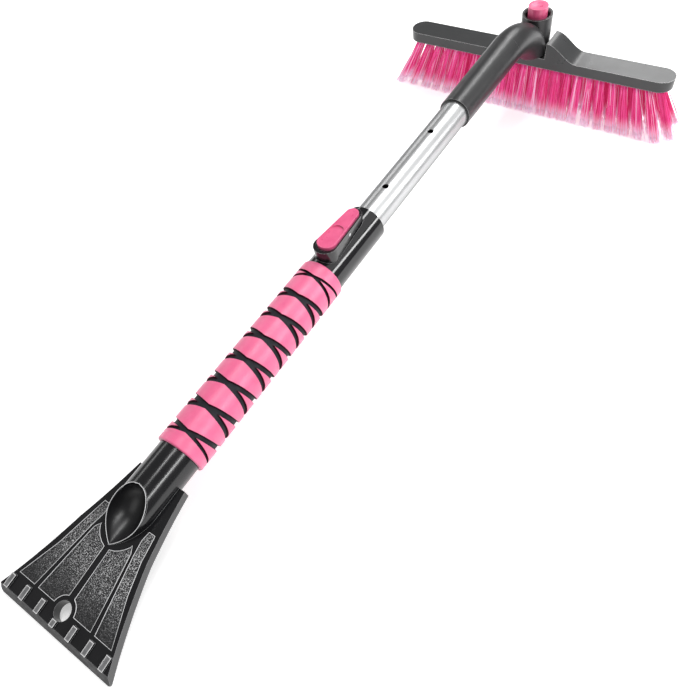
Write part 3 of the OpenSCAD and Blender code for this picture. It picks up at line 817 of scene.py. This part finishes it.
def bristle_row(row, material):
    """One row of tufts that spread towards their tips."""
    rng = random.Random(row + 11)
    strands = Strands()
    y = (row - (ROW_COUNT - 1) / 2) * ROW_PITCH
    outer = abs(y) > ROW_PITCH
    half = BOARD_HALF - (11.5 if outer else 7) - TUFT_R
    root_z = BOARD_TOP - BOARD_T + 0.6
    shift = 0.25 if row % 2 else -0.25
    for tuft in range(TUFTS):
        share = 2 * (tuft + shift) / (TUFTS - 0.5) - 1 + 0.5 / (TUFTS - 0.5)
        x = half * share
        lean = FLARE * (0.35 * share + 0.65 * share**3) + rng.gauss(0, 0.8)
        tuft_shade = rng.uniform(-0.16, 0.16)
        for _ in range(FILAMENTS):
            a = rng.uniform(0, 2 * math.pi)
            r = TUFT_R * math.sqrt(rng.random())
            ox, oy = r * math.cos(a), r * math.sin(a)
            foot = Vector((x + ox, HUB_Y + y + oy, root_z))
            spread_x = ox * 1.6 + rng.gauss(0, 1.6)
            spread_y = oy * 0.8 + rng.gauss(0, 0.9)
            tip = Vector(
                (x + lean + spread_x, HUB_Y + y * ROW_LEAN + spread_y, TIP_Z + rng.gauss(0.2, 1.3))
            )
            shade = clamped(0.58 + tuft_shade + rng.gauss(0, 0.26))
            filament(strands, rng, foot, above_floor(tip), shade)
    obj = piece(f"bristles_{row + 1}", strands.mesh(f"bristles_{row + 1}", material), "head")
    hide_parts(f"bristle_row_{row + 1}")
    return obj


# ---- Stage ----


def look_from(place, forward, right):
    """Matrix of a camera or light at place (tool frame, millimetres) that looks along forward."""
    forward, right = Vector(forward).normalized(), Vector(right).normalized()
    up = right.cross(forward).normalized()
    right = forward.cross(up)
    turn = Matrix((right, up, -forward)).transposed()
    return Matrix.Translation(at(*place)) @ (TURN @ turn).to_4x4()


CAMERA_PLACE = (219.6, 68.4, 349.5)
CAMERA_FORWARD = (-0.4068, 0.4084, -0.8171)
CAMERA_RIGHT = (0.8275, 0.5437, -0.1402)
CAMERA_LENS = 32.15


def camera():
    """The photograph's camera, as solved."""
    data = bpy.data.cameras.new("camera")
    data.sensor_fit = "VERTICAL"
    data.sensor_height = 36
    data.lens = CAMERA_LENS
    data.clip_start = 0.01
    data.clip_end = 50
    obj = bpy.data.objects.new("camera", data)
    bpy.context.scene.collection.objects.link(obj)
    obj.matrix_world = look_from(CAMERA_PLACE, CAMERA_FORWARD, CAMERA_RIGHT)
    bpy.context.scene.camera = obj


def softbox(name, place, aim, width, length, radiance, along=(0, 1, 0)):
    """A rectangular light at place (tool frame, millimetres) that faces aim, length measured along along."""
    data = bpy.data.lights.new(name, "AREA")
    data.shape = "RECTANGLE"
    data.size = width
    data.size_y = length
    data.energy = radiance * math.pi * width * length
    obj = bpy.data.objects.new(name, data)
    bpy.context.scene.collection.objects.link(obj)
    forward = Vector(aim) - Vector(place)
    obj.matrix_world = look_from(place, forward, forward.cross(Vector(along)))
    return obj


def around(angle, distance, y):
    """A point beside the tube, turned about its axis by angle (degrees) from straight above."""
    a = math.radians(angle)
    return (distance * math.sin(a), y, distance * math.cos(a))


def stage_floor():
    """The white floor, partly self-lit to match a white backdrop."""
    bpy.ops.mesh.primitive_plane_add(size=12, location=(0, 0, 0))
    floor = bpy.context.object
    floor.name = "floor"
    g = Graph("floor", (0.9, 0.9, 0.9), 0.7)
    g.set(Emission_Color=(1, 1, 1, 1), Emission_Strength=0.45)
    g.link(g.mix(g.noise(3, 3), (0.90, 0.90, 0.90), (0.93, 0.93, 0.93)), "Base Color")
    floor.data.materials.append(g.material)


def light():
    """A white world and six soft boxes."""
    world = bpy.data.worlds.new("studio")
    world.use_nodes = True
    backdrop = world.node_tree.nodes["Background"]
    backdrop.inputs["Color"].default_value = (1, 1, 1, 1)
    backdrop.inputs["Strength"].default_value = 0.24
    bpy.context.scene.world = world
    softbox("key", around(24, 1500, 1500), (0, 600, 0), 1.6, 1.9, 0.8)
    softbox("crown", around(0, 1500, 1150), (0, 500, 0), 0.26, 1.9, 10.5)
    softbox("side", around(-62, 1200, 700), (0, 300, 0), 0.2, 1.8, 3)
    strip_start, strip_end = Vector((890, 50, 965)), Vector((1215, 1430, 510))
    strip_middle = (strip_start + strip_end) / 2
    softbox("strip", strip_middle, (0, 300, 0), 0.17, 1.5, 14, strip_end - strip_start)
    softbox("front", (150, -1000, 1100), (0, 500, 0), 1.2, 0.8, 0.9, (1, 0, 0))
    softbox("rear", (-140, 1930, 750), (100, 683, -42), 0.5, 0.5, 5.2, (1, 0, 0))


def finish_cad():
    """Materials and rounded edges of the CAD nodes."""
    # The third argument of gloss_black lightens the edges: partly wear, partly painted edge highlight.
    scraper_black = gloss_black("black_abs", 0.18, 0.8)
    housing_black = gloss_black("housing_plastic", 0.09, 0.9)
    # Pale greys of painted highlight for the panel borders and the rib tops.
    border = painted_highlight_black("scraper_border", (0.70, 0.70, 0.71), (0.85, 0.85, 0.86))
    rib_top = painted_highlight_black("rib_top", (0.22, 0.22, 0.225), (1.0, 1.0, 1.0))
    # The edge grey of satin_grey is painted edge highlight; on the board it is near white.
    neck_grey = satin_grey("neck_plastic", (0.016, 0.016, 0.017), (0.024, 0.024, 0.025), 0.34)
    board_grey = satin_grey("board_plastic", (0.024, 0.025, 0.026), (0.034, 0.035, 0.036), 0.30, 0.95)
    pink, alu, plated, white = pink_plastic(), aluminium(), steel(), nylon()
    dish_black = gloss_black("scraper_dish", 0.34)
    blade_slots = [scraper_black, grained_black(), rib_top, dish_black, worn_edge()]
    scraper = finish_node("scraper", blade_slots, 0.25, crease=6.5)
    paint_blade(scraper)
    finish_node("lock_housing", [housing_black], 0.35)
    finish_node("tube_end_plug", [scraper_black], 0.3)
    finish_node("button_guide", [neck_grey], 0.2)
    finish_node("neck", [neck_grey], 0.3, angle=40, join=SLEEVE_JOIN)
    finish_node("brush_board", [board_grey], 0.9)
    finish_node("lock_lever", [pink], 0.7)
    finish_node("push_button", [pink], 0.7)
    for name in ("inner_tube", "handle_tube"):
        finish_node(name, [alu], 0.15)
    for name in ("guide_bush", "seat_washer"):
        finish_node(name, [white], 0.2)
    for name in ("handle_rivets", "neck_rivets", "lever_pivot_pin", "lever_spring", "lock_pin"):
        finish_node(name, [plated], 0.12)
    for name in ("button_spring", "pivot_post", "pivot_washer", "lock_crown", "pivot_nut"):
        finish_node(name, [plated], 0.12)
    # The beads' pale grey paints the highlight along the panel and dish rims.
    panel_beads(border)


def main():
    """Stage, materials, grip and bristles."""
    bpy.context.scene.view_settings.view_transform = "Standard"
    camera()
    light()
    stage_floor()
    finish_cad()
    grip_piece([pink_foam(), groove_wall_painted_shade(), groove_floor()])
    filaments = bristle()
    for row in range(ROW_COUNT):
        bristle_row(row, filaments)


main()
